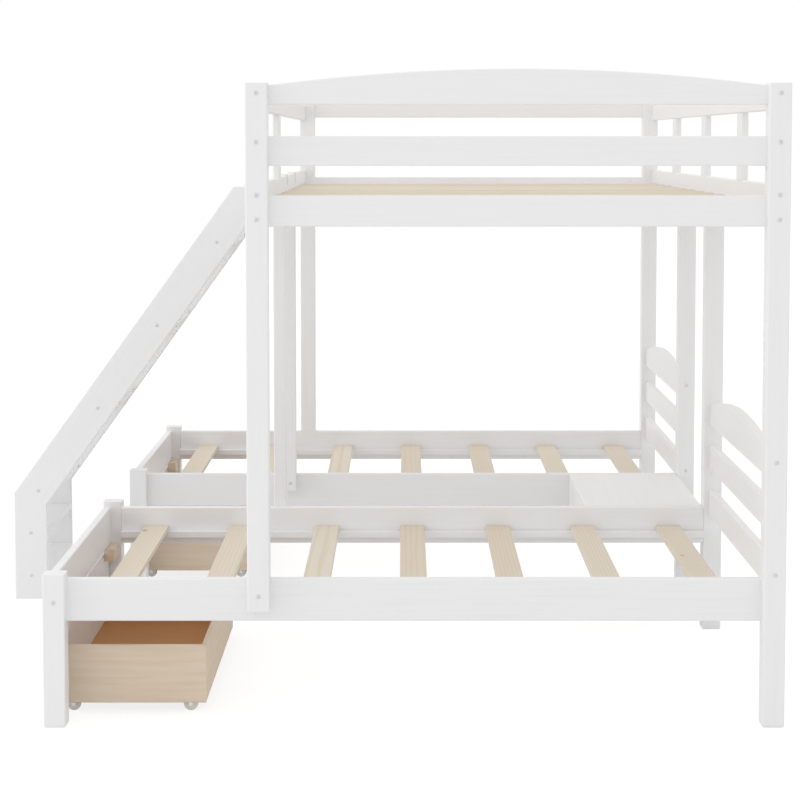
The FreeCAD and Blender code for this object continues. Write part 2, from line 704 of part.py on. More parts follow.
def caster_spots(side):
    """Axle centres of one drawer: name, X, Y, and whether the drawer's middle lies towards +Y of it."""
    sign = {"front": "-", "rear": ""}[side]
    return [
        (end + "_" + hand, x, sign + "(" + y + ")", (side == "front") == (hand == "side"))
        for end, x in (("outer", "front_back + caster_front"), ("back", "drawer_end - caster_rear"))
        for hand, y in (("aisle", "drawer_inner + caster_inset"), ("side", "drawer_outer - caster_inset"))
    ]


def rod(name, radius, length, x, y, z):
    """A cylinder along Y that starts at y."""
    item = doc.addObject("Part::Cylinder", name)
    bind(item, "Radius", radius)
    bind(item, "Height", length)
    item.Placement.Rotation = FreeCAD.Rotation(FreeCAD.Vector(1, 0, 0), -90)
    place(item, x, y, z)
    return item


CHEEK_TO_REAR = [
    ("bracket_left", "bracket_roof"),
    ("bracket_inside", "bracket_roof"),
    ("bracket_inside", "bracket_low"),
    ("bracket_half", "bracket_low"),
    ("bracket_half", "bracket_top"),
    ("bracket_left", "bracket_top"),
]
CHEEK_TO_FRONT = [
    ("bracket_left", "bracket_low"),
    ("bracket_left_in", "bracket_low"),
    ("bracket_left_in", "bracket_roof"),
    ("bracket_half", "bracket_roof"),
    ("bracket_half", "bracket_top"),
    ("bracket_left", "bracket_top"),
]


def make_bracket(name, x, y, inward):
    """Bent steel with one cheek on the drawer's inner side, and an axle whose cap keeps the wheel on."""
    body, sketch = new_sketch(name + "_plate", "YZ_Plane")
    polygon(sketch, CHEEK_TO_REAR if inward else CHEEK_TO_FRONT)
    pad(body, sketch, "bracket_length", False)
    place(body, x + " - bracket_length / 2", y, "wheel_radius")
    axle = rod(name + "_axle", "axle_radius", "2 * bracket_half", x, y + " - bracket_half", "wheel_radius")
    cap_start = y + (" - bracket_half" if inward else " + bracket_inside")
    cap = rod(name + "_cap", "cap_radius", "bracket_wall", x, cap_start, "wheel_radius")
    bracket = doc.addObject("Part::MultiFuse", name + "_bracket")
    bracket.Shapes = [body, axle, cap]
    return bracket


def make_wheel(name, x, y):
    disc = rod(name + "_disc", "wheel_radius", "wheel_width", x, y + " - wheel_width / 2", "wheel_radius")
    doc.recompute()
    rims = [number for number, edge in enumerate(disc.Shape.Edges, start=1)
            if edge.Curve.TypeId == "Part::GeomCircle"]
    tyre = dress("Part::Chamfer", name + "_tyre", disc, rims, value("wheel_bevel"))
    bore = rod(name + "_bore", "axle_radius + axle_clearance", "2 * wheel_width", x, y + " - wheel_width",
               "wheel_radius")
    wheel = doc.addObject("Part::Cut", name + "_wheel")
    wheel.Base = tyre
    wheel.Tool = bore
    return wheel


def make_casters(side):
    """Steel brackets under the drawer base, with one wheel on each axle."""
    brackets = []
    for spot, x, y, inward in caster_spots(side):
        name = "%s_drawer_%s" % (side, spot)
        brackets.append(make_bracket(name, x, y, inward))
        keep(make_wheel(name, x, y))
    keep(group(side + "_drawer_casters", brackets))


def make_stops():
    """Plain wood blocks on the legs that the drawer fronts close against."""
    x = ("front_back + stop_gap", "stop_width")
    z = ("rail_bottom - stop_height", "stop_height")
    blocks = []
    for side in SIDES:
        for where, near, far in (("outer", "outer_inner - stop_length", "outer_inner"),
                                 ("inner", "aisle_inner", "aisle_inner + stop_length")):
            blocks.append(bevelled_board("%s_%s_stop" % (side, where), x, across(side, near, far), z, "Y"))
    keep(group("drawer_stops", blocks))


# Fasteners

POST_BOLTS = (
    "post_top - top_bolt_drop",
    "guard_bottom + guard_bolt_lift",
    "deck_bottom + side_bolt_high",
    "deck_bottom + side_bolt_low",
)
HEADBOARD_BOLTS = ("headboard_top + arch_bolt_lift", "headboard_low + low_bolt_lift")


def bolt(name, side, x, face, z):
    """A low round bolt head on a face that looks along Y: towards the front or towards the rear."""
    start = {"front": face + " - bolt_head", "rear": face}[side]
    return rod(name, "bolt_radius", "bolt_head", x, start, z)


def make_bolts():
    corner_x = "(deck_face + deck_inner) / 2"
    head_x = "(head_face + head_inner) / 2"
    foot_x = "(foot_face + foot_inner) / 2"
    mid_x = "deck_face + mid_width / 2"
    lap_z = "(corner_foot + rail_top) / 2"
    rail_z = "rail_bottom + rail_height / 2"
    mid_z = "(mid_foot + rail_top) / 2"
    spots = []
    for side, sign, other in (("front", "-", "rear"), ("rear", "", "front")):
        outer = sign + "outer"
        aisle = sign + "aisle"
        for z in POST_BOLTS:
            spots.append((side, corner_x, outer, z))
            spots.append((side, head_x, outer, z))
        for z in HEADBOARD_BOLTS:
            spots.append((side, head_x, outer, z))
            spots.append((other, head_x, aisle, z))
        spots.append((side, corner_x, outer, lap_z))
        spots.append((side, foot_x, outer, rail_z))
        spots.append((other, mid_x, sign + "(aisle_rail - mid_width)", mid_z))
    for index in range(TREAD_COUNT):
        back, top = tread_place(index)
        x = back + " - tread_depth / 2"
        z = top + " - board_thick / 2"
        spots.append(("front", x, "ladder_shift - ladder_width / 2", z))
        spots.append(("rear", x, "ladder_shift + ladder_width / 2", z))
    keep(group("bolt_heads", [bolt("bolt_%d" % number, *spot) for number, spot in enumerate(spots, start=1)]))


def check_model():
    doc.recompute()
    for item in doc.Objects:
        if "Invalid" in item.State or "Error" in item.State:
            raise RuntimeError("failed: " + item.Name)
    for item in nodes:
        if item.Shape.isNull() or not item.Shape.isValid() or not item.Shape.Solids:
            raise RuntimeError("bad shape: " + item.Name)


def write_parts():
    os.makedirs("parts", exist_ok=True)
    for item in nodes:
        item.Label = item.Name
        item.Shape.exportStep("parts/%s.step" % item.Label)


fill_sheet()
make_posts()
make_corner_posts()
make_mid_posts()
make_bed_rails()
make_headboards()
make_bed_slats()
make_shelf()
make_deck_frame()
make_balusters()
make_deck()
make_stringers()
make_treads()
make_hooks()
for side in SIDES:
    make_drawer_front(side)
    make_drawer_box(side)
    make_casters(side)
make_stops()
make_bolts()
check_model()
write_parts()
print(len(nodes), "nodes,", sum(len(item.Shape.Solids) for item in nodes), "solids")
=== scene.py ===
"""White triple bunk bed: a lacquered pine frame, bare pine slats and plywood drawers on small casters.

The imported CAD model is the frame. This add-on gives each of its pieces a finish, adds the small hardware
that the solids leave plain, and sets a pale studio with a camera. Lengths are metres, in the frame's own
axes: X from foot to head, Y from the front bed to the rear bed, Z up.
"""

import json
import math

import bmesh
import bpy
from bpy.props import FloatProperty, FloatVectorProperty, PointerProperty
from mathutils import Matrix, Vector


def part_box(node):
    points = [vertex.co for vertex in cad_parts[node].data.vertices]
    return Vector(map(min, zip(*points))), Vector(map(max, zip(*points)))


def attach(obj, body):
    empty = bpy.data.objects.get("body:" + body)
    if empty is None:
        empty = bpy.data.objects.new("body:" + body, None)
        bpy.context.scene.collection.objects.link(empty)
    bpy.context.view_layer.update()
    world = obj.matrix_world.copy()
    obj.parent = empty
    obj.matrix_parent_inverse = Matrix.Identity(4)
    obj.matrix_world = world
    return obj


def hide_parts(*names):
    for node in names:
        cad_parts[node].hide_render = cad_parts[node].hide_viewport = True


bl_info = {
    "name": "Triple Bunk Bed",
    "version": (1, 0, 0),
    "blender": (4, 5, 0),
    "location": "View3D > Sidebar > Bunk Bed",
    "description": "Finishes, hardware and studio for a white triple bunk bed",
    "category": "Object",
}

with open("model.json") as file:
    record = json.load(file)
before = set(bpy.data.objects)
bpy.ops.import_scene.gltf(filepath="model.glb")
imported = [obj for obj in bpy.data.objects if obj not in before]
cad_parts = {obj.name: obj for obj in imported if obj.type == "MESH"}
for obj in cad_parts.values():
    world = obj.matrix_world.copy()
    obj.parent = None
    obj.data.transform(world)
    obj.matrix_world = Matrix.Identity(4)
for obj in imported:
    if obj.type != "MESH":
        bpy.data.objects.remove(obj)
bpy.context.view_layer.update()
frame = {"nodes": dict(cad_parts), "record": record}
NODES = frame["nodes"]

MM = 0.001

# Points closer than the first are one point, and faces closer than the second touch
WELD = 0.01 * MM
TOUCH = 0.1 * MM

# Edges that bend less than this are shaded smooth
CREASE = math.radians(35)

# Side of the square image in pixels, and of the camera's sensor in millimetres
IMAGE_SIDE = 800
SENSOR_SIDE = 36.0

# Slant of the ladder's stringers
LADDER_RISE = 1108 * MM
LADDER_RUN = 800 * MM
LADDER_PITCH = math.atan2(LADDER_RISE, LADDER_RUN)

# Nodes whose boards are screwed down
SLAT_NODES = ("front_bed_slats", "rear_bed_slats", "deck_slats")

# Which way the boards of a node run, where the node's longest side doesn't say it
BOARD_AXIS = {
    "front_bed_slats": "Y",
    "rear_bed_slats": "Y",
    "deck_slats": "X",
    "bed_ledgers": "X",
    "deck_bearers": "Y",
    "drawer_stops": "Y",
    "side_balusters": "Z",
    "bridge_shelf": "Y",
    "ladder_treads": "Y",
    "ladder_near_stringer": "slant",
    "ladder_far_stringer": "slant",
}


def linear(hex_colour):
    """An sRGB hex colour as linear red, green and blue."""
    channels = [int(hex_colour[start:start + 2], 16) / 255 for start in (1, 3, 5)]
    return [c / 12.92 if c <= 0.04045 else ((c + 0.055) / 1.055) ** 2.4 for c in channels]


def rgba(colour):
    return (*colour, 1.0)


def per_metre(millimetres):
    """How often a pattern of that size repeats in a metre, which is a texture's scale."""
    return 1000.0 / millimetres


# Settings

class BunkBedFinish(bpy.types.PropertyGroup):
    paint: FloatVectorProperty(
        name="Paint", description="White lacquer of the posts, rails, ladder and drawer fronts",
        subtype="COLOR", default=linear("#EEEEEF"))
    paint_shade: FloatVectorProperty(
        name="Paint over grain", description="The lacquer where the grain shows through it",
        subtype="COLOR", default=linear("#E9E9EA"))
    pine: FloatVectorProperty(
        name="Pine", description="Early wood of the bare slats",
        subtype="COLOR", default=linear("#E3DACB"))
    pine_ring: FloatVectorProperty(
        name="Pine rings", description="Late wood of the bare slats",
        subtype="COLOR", default=linear("#D7C8B0"))
    knot: FloatVectorProperty(
        name="Knots", description="Knots in the bare slats",
        subtype="COLOR", default=linear("#B89A74"))
    plywood: FloatVectorProperty(
        name="Plywood", description="Face of the drawer boards",
        subtype="COLOR", default=linear("#E1D0BC"))
    plywood_figure: FloatVectorProperty(
        name="Plywood figure", description="Darker figure in the drawer boards",
        subtype="COLOR", default=linear("#D8C5AC"))
    hardboard: FloatVectorProperty(
        name="Hardboard", description="Base of the drawers",
        subtype="COLOR", default=linear("#C08957"))
    hardboard_fibre: FloatVectorProperty(
        name="Hardboard fibres", description="Darker fibres in the base of the drawers",
        subtype="COLOR", default=linear("#9C6A3D"))
    nylon: FloatVectorProperty(
        name="Nylon", description="Caster wheels",
        subtype="COLOR", default=linear("#E4E3DE"))
    zinc: FloatVectorProperty(
        name="Zinc", description="Bolts, screws and caster brackets",
        subtype="COLOR", default=linear("#D6D8DA"))


class BunkBedHardware(bpy.types.PropertyGroup):
    screw_head: FloatProperty(
        name="Screw head", description="Diameter of the slat screws",
        default=8 * MM, unit="LENGTH")
    screw_inset: FloatProperty(
        name="Screw inset", description="Slat screws from the end of the slat",
        default=10 * MM, unit="LENGTH")
    screw_spread: FloatProperty(
        name="Screw spread", description="Between the two screws at a slat's end",
        default=44 * MM, unit="LENGTH")
    bolt_key: FloatProperty(
        name="Bolt key", description="Hexagon socket of the bolts, across flats",
        default=5 * MM, unit="LENGTH")


class BunkBedStudio(bpy.types.PropertyGroup):
    camera_place: FloatVectorProperty(
        name="Camera", description="Where the camera stands", subtype="XYZ", unit="LENGTH",
        default=(0.16175, -6.510, 1.5941))
    camera_tilt: FloatProperty(
        name="Camera tilt", description="How far the camera looks down", subtype="ANGLE",
        default=math.radians(3.65))
    camera_focal: FloatProperty(
        name="Focal length", description="Focal length in pixels of the image", default=1912.64)
    lens_drop: FloatProperty(
        name="Lens drop", description="Lens shift downwards as a share of the image", default=0.17)
    lens_side: FloatProperty(
        name="Lens sideways", description="Lens shift to the left as a share of the image", default=0.0054)
    sky_strength: FloatProperty(name="Sky light", description="Even light from all around", default=0.93)
    left_power: FloatProperty(
        name="Left softbox", description="Power of the softbox on the left",
        default=300.0, unit="POWER")
    top_power: FloatProperty(
        name="Top softbox", description="Power of the softbox overhead",
        default=20.0, unit="POWER")


def finish_settings():
    return bpy.context.scene.bunk_bed_finish


def hardware_settings():
    return bpy.context.scene.bunk_bed_hardware


def studio_settings():
    return bpy.context.scene.bunk_bed_studio


# Nodes

# Socket numbers of a Mix node, whose names repeat: for colours, and for vectors
MIX_FACTOR, MIX_A, MIX_B, MIX_RESULT = 0, 6, 7, 2
VECTOR_A, VECTOR_B, VECTOR_RESULT = 4, 5, 1

# A wave texture of scale 1 runs through this many radians in a metre
WAVE_RADIANS = 20


def add_node(tree, kind, inputs=None, **settings):
    """A node with its settings, and each given input either linked to a socket or set to a value."""
    made = tree.nodes.new(kind)
    for name, setting in settings.items():
        setattr(made, name, setting)
    for name, source in (inputs or {}).items():
        if isinstance(source, bpy.types.NodeSocket):
            tree.links.new(source, made.inputs[name])
        else:
            made.inputs[name].default_value = source
    return made


def start_material(name):
    """A material with an empty node tree, and that tree."""
    material = bpy.data.materials.new(name)
    material.use_nodes = True
    material.node_tree.nodes.clear()
    return material, material.node_tree


def show(tree, sockets):
    """Wires a principled shader with these sockets to the material's output."""
    shader = add_node(tree, "ShaderNodeBsdfPrincipled", sockets)
    add_node(tree, "ShaderNodeOutputMaterial", {"Surface": shader.outputs["BSDF"]})


def board_coordinates(tree, axis, stretch):
    """Object coordinates drawn out along a board, so that a pattern on them runs with the grain."""
    turn = LADDER_PITCH if axis == "slant" else 0.0
    scale = [1.0, 1.0, 1.0]
    scale["XYZ".index("X" if axis == "slant" else axis)] = 1.0 / stretch
    place = add_node(tree, "ShaderNodeTexCoord")
    turned = add_node(tree, "ShaderNodeMapping", {
        "Vector": place.outputs["Object"], "Rotation": (0, turn, 0)})
    drawn = add_node(tree, "ShaderNodeMapping", {
        "Vector": turned.outputs["Vector"], "Scale": scale})
    return drawn.outputs["Vector"]


# Materials

def lacquered_pine(axis):
    """Sprayed white lacquer on pine.

    A thin satin film: an even white in which the grain shows as the faintest streaks along the board, with
    a soft highlight that the raised grain breaks up a little.
    """
    finish = finish_settings()
    material, tree = start_material("lacquered_pine_" + axis.lower())
    streak_mm = 8.0
    streak_stretch = 36.0
    patch_mm = 380.0
    patch_stretch = 3.0
    streaks = add_node(tree, "ShaderNodeTexNoise", {
        "Vector": board_coordinates(tree, axis, streak_stretch), "Scale": per_metre(streak_mm),
        "Detail": 5.0, "Roughness": 0.62})
    patches = add_node(tree, "ShaderNodeTexNoise", {
        "Vector": board_coordinates(tree, axis, patch_stretch), "Scale": per_metre(patch_mm),
        "Detail": 2.0})
    open_grain = add_node(tree, "ShaderNodeMapRange", {
        "Value": streaks.outputs["Fac"], "From Min": 0.46, "From Max": 0.72})
    shown = add_node(tree, "ShaderNodeMath", {
        0: open_grain.outputs["Result"], 1: patches.outputs["Fac"]}, operation="MULTIPLY")
    colour = add_node(tree, "ShaderNodeMix", {
        MIX_FACTOR: shown.outputs["Value"], MIX_A: rgba(finish.paint), MIX_B: rgba(finish.paint_shade)},
        data_type="RGBA")
    gloss = add_node(tree, "ShaderNodeMapRange", {
        "Value": streaks.outputs["Fac"], "To Min": 0.34, "To Max": 0.52})
    relief = add_node(tree, "ShaderNodeBump", {
        "Height": streaks.outputs["Fac"], "Strength": 0.12, "Distance": 0.15 * MM})
    show(tree, {"Base Color": colour.outputs[MIX_RESULT], "Roughness": gloss.outputs["Result"], "IOR": 1.5,
                "Normal": relief.outputs["Normal"]})
    return material


def sanded_pine(axis):
    """Bare sanded pine.

    Pale early wood with thin warmer late-wood lines along the board, a knot here and there, and a tone that
    changes from slat to slat. Dry and dull, with a fine fibre.
    """
    finish = finish_settings()
    material, tree = start_material("sanded_pine_" + axis.lower())
    ring_mm = 9.0
    # Coarser than real fibres, so that they show
    fibre_mm = 2.5
    grain_stretch = 26.0
    knot_cell_mm = 150.0
    knot_stretch = 1.8
    board_mm = 130.0
    board_stretch = 400.0
    drawn = board_coordinates(tree, axis, grain_stretch)
    rings = add_node(tree, "ShaderNodeTexWave", {
        "Vector": drawn, "Scale": 2 * math.pi / (WAVE_RADIANS * ring_mm * MM), "Distortion": 5.0,
        "Detail": 3.0, "Detail Scale": 0.8, "Detail Roughness": 0.55},
        wave_type="RINGS", rings_direction=axis)
    fibres = add_node(tree, "ShaderNodeTexNoise", {
        "Vector": drawn, "Scale": per_metre(fibre_mm), "Detail": 4.0, "Roughness": 0.65})
    tone = add_node(tree, "ShaderNodeTexNoise", {
        "Vector": board_coordinates(tree, axis, board_stretch), "Scale": per_metre(board_mm),
        "Detail": 0.0})
    late_wood = add_node(tree, "ShaderNodeMapRange", {
        "Value": rings.outputs["Fac"], "From Min": 0.45, "From Max": 1.0, "To Max": 0.5},
        interpolation_type="SMOOTHSTEP")
    wood = add_node(tree, "ShaderNodeMix", {
        MIX_FACTOR: late_wood.outputs["Result"], MIX_A: rgba(finish.pine), MIX_B: rgba(finish.pine_ring)},
        data_type="RGBA")
    warm = add_node(tree, "ShaderNodeMapRange", {
        "Value": tone.outputs["Fac"], "From Min": 0.3, "From Max": 0.7, "To Max": 0.45})
    toned = add_node(tree, "ShaderNodeMix", {
        MIX_FACTOR: warm.outputs["Result"], MIX_A: wood.outputs[MIX_RESULT], MIX_B: rgba(finish.pine_ring)},
        data_type="RGBA")
    knots = add_node(tree, "ShaderNodeTexVoronoi", {
        "Vector": board_coordinates(tree, axis, knot_stretch), "Scale": per_metre(knot_cell_mm)})
    knot_spot = add_node(tree, "ShaderNodeMapRange", {
        "Value": knots.outputs["Distance"], "From Min": 0.085, "From Max": 0.04, "To Max": 0.85},
        interpolation_type="SMOOTHSTEP")
    knotty = add_node(tree, "ShaderNodeMix", {
        MIX_FACTOR: knot_spot.outputs["Result"], MIX_A: toned.outputs[MIX_RESULT],
        MIX_B: rgba(finish.knot)}, data_type="RGBA")
    dull = add_node(tree, "ShaderNodeMapRange", {
        "Value": fibres.outputs["Fac"], "To Min": 0.55, "To Max": 0.78})
    relief = add_node(tree, "ShaderNodeBump", {
        "Height": fibres.outputs["Fac"], "Strength": 0.35, "Distance": 0.25 * MM})
    show(tree, {"Base Color": knotty.outputs[MIX_RESULT], "Roughness": dull.outputs["Result"], "IOR": 1.45,
                "Normal": relief.outputs["Normal"]})
    return material


def birch_plywood():
    """Unfinished birch plywood, sawn and sanded.

    A warm beige face with a soft rotary-cut figure in long thin bands, and short pores along the grain,
    which runs along each wall.
    """
    finish = finish_settings()
    material, tree = start_material("birch_plywood")
    figure_mm = 15.0
    # Coarser than real pores, so that they show
    pore_mm = 1.8
    grain_stretch = 14.0
    place = add_node(tree, "ShaderNodeTexCoord")
    outward = add_node(tree, "ShaderNodeSeparateXYZ", {"Vector": place.outputs["Normal"]})
    crosswise = add_node(tree, "ShaderNodeMath", {0: outward.outputs["X"]}, operation="ABSOLUTE")
    grain = add_node(tree, "ShaderNodeMix", {
        MIX_FACTOR: crosswise.outputs["Value"], VECTOR_A: board_coordinates(tree, "X", grain_stretch),
        VECTOR_B: board_coordinates(tree, "Y", grain_stretch)}, data_type="VECTOR")
    figure = add_node(tree, "ShaderNodeTexNoise", {
        "Vector": grain.outputs[VECTOR_RESULT], "Scale": per_metre(figure_mm), "Detail": 3.0,
        "Distortion": 0.4})
    pores = add_node(tree, "ShaderNodeTexNoise", {
        "Vector": grain.outputs[VECTOR_RESULT], "Scale": per_metre(pore_mm), "Detail": 3.0,
        "Roughness": 0.7})
    bands = add_node(tree, "ShaderNodeMapRange", {
        "Value": figure.outputs["Fac"], "From Min": 0.38, "From Max": 0.68, "To Max": 0.7})
    flecks = add_node(tree, "ShaderNodeMapRange", {
        "Value": pores.outputs["Fac"], "From Min": 0.55, "From Max": 0.8, "To Max": 0.4})
    amount = add_node(tree, "ShaderNodeMath", {
        0: bands.outputs["Result"], 1: flecks.outputs["Result"]}, operation="ADD", use_clamp=True)
    colour = add_node(tree, "ShaderNodeMix", {
        MIX_FACTOR: amount.outputs["Value"], MIX_A: rgba(finish.plywood),
        MIX_B: rgba(finish.plywood_figure)}, data_type="RGBA")
    dull = add_node(tree, "ShaderNodeMapRange", {
        "Value": pores.outputs["Fac"], "To Min": 0.5, "To Max": 0.75})
    relief = add_node(tree, "ShaderNodeBump", {
        "Height": pores.outputs["Fac"], "Strength": 0.3, "Distance": 0.2 * MM})
    show(tree, {"Base Color": colour.outputs[MIX_RESULT], "Roughness": dull.outputs["Result"], "IOR": 1.45,
                "Normal": relief.outputs["Normal"]})
    return material


def pressed_hardboard():
    """Hardboard, pressed smooth on its upper face.

    An even warm brown of matted fibres: short darker flecks that lie every way, cloudy over a hand's width,
    with the low sheen that the press leaves.
    """
    finish = finish_settings()
    material, tree = start_material("pressed_hardboard")
    fibre_mm = 3.0
    cloud_mm = 60.0
    place = add_node(tree, "ShaderNodeTexCoord")
    fibres = add_node(tree, "ShaderNodeTexNoise", {
        "Vector": place.outputs["Object"], "Scale": per_metre(fibre_mm), "Detail": 5.0, "Roughness": 0.7,
        "Distortion": 1.5})
    clouds = add_node(tree, "ShaderNodeTexNoise", {
        "Vector": place.outputs["Object"], "Scale": per_metre(cloud_mm), "Detail": 2.0})
    flecks = add_node(tree, "ShaderNodeMapRange", {
        "Value": fibres.outputs["Fac"], "From Min": 0.4, "From Max": 0.75})
    amount = add_node(tree, "ShaderNodeMath", {
        0: flecks.outputs["Result"], 1: clouds.outputs["Fac"]}, operation="MULTIPLY")
    colour = add_node(tree, "ShaderNodeMix", {
        MIX_FACTOR: amount.outputs["Value"], MIX_A: rgba(finish.hardboard),
        MIX_B: rgba(finish.hardboard_fibre)}, data_type="RGBA")
    sheen = add_node(tree, "ShaderNodeMapRange", {
        "Value": fibres.outputs["Fac"], "To Min": 0.42, "To Max": 0.62})
    relief = add_node(tree, "ShaderNodeBump", {
        "Height": fibres.outputs["Fac"], "Strength": 0.2, "Distance": 0.1 * MM})
    show(tree, {"Base Color": colour.outputs[MIX_RESULT], "Roughness": sheen.outputs["Result"], "IOR": 1.47,
                "Normal": relief.outputs["Normal"]})
    return material


def moulded_nylon():
    """Moulded pale nylon: a slightly waxy, even plastic with a fine spark-eroded texture."""
    finish = finish_settings()
    material, tree = start_material("moulded_nylon")
    # Coarser than the mould's own texture, so that it shows
    texture_mm = 0.9
    place = add_node(tree, "ShaderNodeTexCoord")
    grit = add_node(tree, "ShaderNodeTexNoise", {
        "Vector": place.outputs["Object"], "Scale": per_metre(texture_mm), "Detail": 2.0})
    haze = add_node(tree, "ShaderNodeMapRange", {
        "Value": grit.outputs["Fac"], "To Min": 0.38, "To Max": 0.56})
    relief = add_node(tree, "ShaderNodeBump", {
        "Height": grit.outputs["Fac"], "Strength": 0.2, "Distance": 0.05 * MM})
    show(tree, {"Base Color": rgba(finish.nylon), "Roughness": haze.outputs["Result"], "IOR": 1.53,
                "Normal": relief.outputs["Normal"]})
    return material


def zinc_plated_steel():
    """Zinc-plated pressed steel: a cool dull metal, mottled where the plating is thicker."""
    finish = finish_settings()
    material, tree = start_material("zinc_plated_steel")
    mottle_mm = 3.0
    place = add_node(tree, "ShaderNodeTexCoord")
    mottle = add_node(tree, "ShaderNodeTexNoise", {
        "Vector": place.outputs["Object"], "Scale": per_metre(mottle_mm), "Detail": 4.0})
    haze = add_node(tree, "ShaderNodeMapRange", {
        "Value": mottle.outputs["Fac"], "To Min": 0.28, "To Max": 0.5})
    relief = add_node(tree, "ShaderNodeBump", {
        "Height": mottle.outputs["Fac"], "Strength": 0.15, "Distance": 0.05 * MM})
    show(tree, {"Base Color": rgba(finish.zinc), "Metallic": 1.0, "Roughness": haze.outputs["Result"],
                "Normal": relief.outputs["Normal"]})
    return material


def powder_coated_steel():
    """White powder coat on bent strip: a hard even film with a fine orange-peel ripple."""
    finish = finish_settings()
    material, tree = start_material("powder_coated_steel")
    ripple_mm = 1.6
    place = add_node(tree, "ShaderNodeTexCoord")
    ripple = add_node(tree, "ShaderNodeTexNoise", {
        "Vector": place.outputs["Object"], "Scale": per_metre(ripple_mm), "Detail": 1.0})
    gloss = add_node(tree, "ShaderNodeMapRange", {
        "Value": ripple.outputs["Fac"], "To Min": 0.26, "To Max": 0.36})
    relief = add_node(tree, "ShaderNodeBump", {
        "Height": ripple.outputs["Fac"], "Strength": 0.2, "Distance": 0.1 * MM})
    show(tree, {"Base Color": rgba(finish.paint), "Roughness": gloss.outputs["Result"], "IOR": 1.5,
                "Normal": relief.outputs["Normal"]})
    return material


def finish_of(make, *facts):
    """The finish that a function makes, made once and then shared."""
    key = "_".join((make.__name__, *facts)).lower()
    return bpy.data.materials.get(key) or make(*facts)


# Outlines of the hardware

# Corners of the round pieces
SCREW_SIDES = 16
BOLT_SIDES = 24
WHEEL_SIDES = 48

# Heads and cross drives of the flat and the domed screws: shares of the radius at heights above the wood
FLAT_HEAD = ((1.0, 0.0), (1.0, 0.2 * MM), (0.86, 0.6 * MM))
FLAT_DRIVE = ((0.5, 0.6 * MM), (0.42, 0.1 * MM))
DOMED_HEAD = ((1.0, 0.0), (1.0, 0.8 * MM), (0.7, 2.1 * MM))
DOMED_DRIVE = ((0.5, 2.3 * MM), (0.4, 0.9 * MM))

# A bolt's dome: shares of the radius at shares of the height, and the floor of its socket
BOLT_DOME = ((1.0, 0.0), (1.0, 0.3), (0.93, 0.66), (0.76, 0.92), (0.6, 1.0))
SOCKET_FLOOR = 0.25

# The ladder's hooks: the strip's thickness, and the screws through it from the foot end
HOOK_STRIP = 4 * MM
HOOK_SCREW_RADIUS = 5 * MM
HOOK_SCREW_INSETS = (18 * MM, 62 * MM)

# A wheel's hub, dished face, rim and crowned tread: shares of the radius at shares of half the width
WHEEL_PROFILE = (
    (0.36, 1.0), (0.4, 0.98), (0.44, 0.93), (0.7, 0.93), (0.74, 0.98),
    (0.78, 1.0), (0.86, 1.0), (0.93, 0.88), (0.98, 0.6), (1.0, 0.25),
)
AXLE_RADIUS = 3 * MM
AXLE_CLEARANCE = 0.08 * MM


# Shapes

def board_axis(node):
    """Which way a node's boards run."""
    if node in BOARD_AXIS:
        return BOARD_AXIS[node]
    low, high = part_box(node)
    extent = high - low
    return "XYZ"[max(range(3), key=lambda index: extent[index])]


def nodes_of(slot):
    """Names of the CAD nodes that the record gives a material slot."""
    return [row["node"] for row in frame["record"]["subparts"] if row["material_slot"] == slot]


def dress(nodes, make):
    """Gives each node a finish whose grain runs along its boards."""
    for name in nodes:
        NODES[name].data.materials.clear()
        NODES[name].data.materials.append(finish_of(make, board_axis(name)))


def dress_plain(nodes, make):
    """Gives each node a finish without a direction."""
    for name in nodes:
        NODES[name].data.materials.clear()
        NODES[name].data.materials.append(finish_of(make))


def solid_boxes(node):
    """Lowest and highest corner of each separate solid in a CAD node."""
    bm = bmesh.new()
    bm.from_mesh(NODES[node].data)
    bmesh.ops.remove_doubles(bm, verts=bm.verts, dist=WELD)
    left = set(bm.verts)
    boxes = []
    while left:
        reached = [left.pop()]
        for vert in reached:
            for edge in vert.link_edges:
                other = edge.other_vert(vert)
                if other in left:
                    left.remove(other)
                    reached.append(other)
        low = Vector(min(vert.co[axis] for vert in reached) for axis in range(3))
        high = Vector(max(vert.co[axis] for vert in reached) for axis in range(3))
        boxes.append((low, high))
    bm.free()
    return sorted(boxes, key=lambda box: tuple(round(c, 4) for c in box[0]))


def turns(count):
    """Even angles round a circle."""
    return [2 * math.pi * index / count for index in range(count)]


def round_ring(radius, height, count):
    """A circle of points at a height."""
    return [Vector((radius * math.cos(turn), radius * math.sin(turn), height)) for turn in turns(count)]


def hexagon_ring(across_flats, height, count):
    """A hexagon of points at a height, for the socket of a bolt."""
    side = math.pi / 3
    points = []
    for turn in turns(count):
        reach = across_flats / 2 / math.cos(turn % side - side / 2)
        points.append(Vector((reach * math.cos(turn), reach * math.sin(turn), height)))
    return points


def cross_ring(radius, height, count):
    """A four-armed outline of points at a height, for the drive of a screw."""
    waist = 0.42
    points = []
    for index, turn in enumerate(turns(count)):
        reach = radius * (waist if index % (count // 4) == count // 8 else 1.0)
        points.append(Vector((reach * math.cos(turn), reach * math.sin(turn), height)))
    return points


def screw_rings(radius, head, drive):
    """Rings of a screw: its round head, then the cross drive sunk into it."""
    rings = [round_ring(share * radius, height, SCREW_SIDES) for share, height in head]
    rings += [cross_ring(share * radius, height, SCREW_SIDES) for share, height in drive]
    return rings


